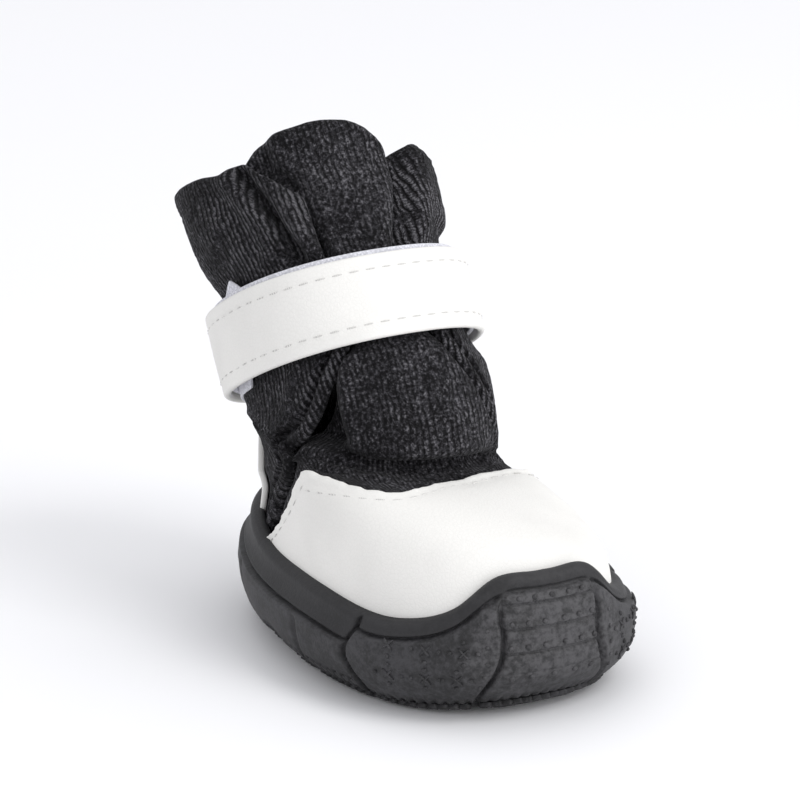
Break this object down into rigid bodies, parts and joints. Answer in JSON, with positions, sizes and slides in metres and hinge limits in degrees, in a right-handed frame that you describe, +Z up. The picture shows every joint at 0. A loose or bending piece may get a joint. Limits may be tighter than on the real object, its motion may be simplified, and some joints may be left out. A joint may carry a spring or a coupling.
{
  "type": "dog boot",
  "caption": "Dog boot with a moulded rubber cup sole, black knit shaft leaning back, white toe cap and heel patch, and a hook-and-loop strap round the ankle.",
  "frame": {"origin": "on the tread under the middle of the foot, where the forefoot's flat lugs meet the floor", "axes": "+Z up, the toe points along -Y, the boot's own right side is -X"},
  "size_m": [0.0502, 0.0935, 0.0764],
  "materials": {
    "sole_rubber": "matte moulded rubber with fine grain, dark grey",
    "insole_foam": "dark foam under thin cloth",
    "knit": "black ribbed knit, matte",
    "white_leather": "warm white synthetic leather, semi-matte, stitched edges",
    "grey_tape": "light grey woven hook-and-loop tape"
  },
  "bodies": {
    "root": {"sole": "sole_rubber", "insole": "insole_foam", "upper": "knit", "tongue": "knit", "toe_cap": "white_leather", "heel_patch": "white_leather", "strap": "white_leather", "strap_backing": "grey_tape", "hook_tab": "grey_tape"}
  },
  "joints": []
}
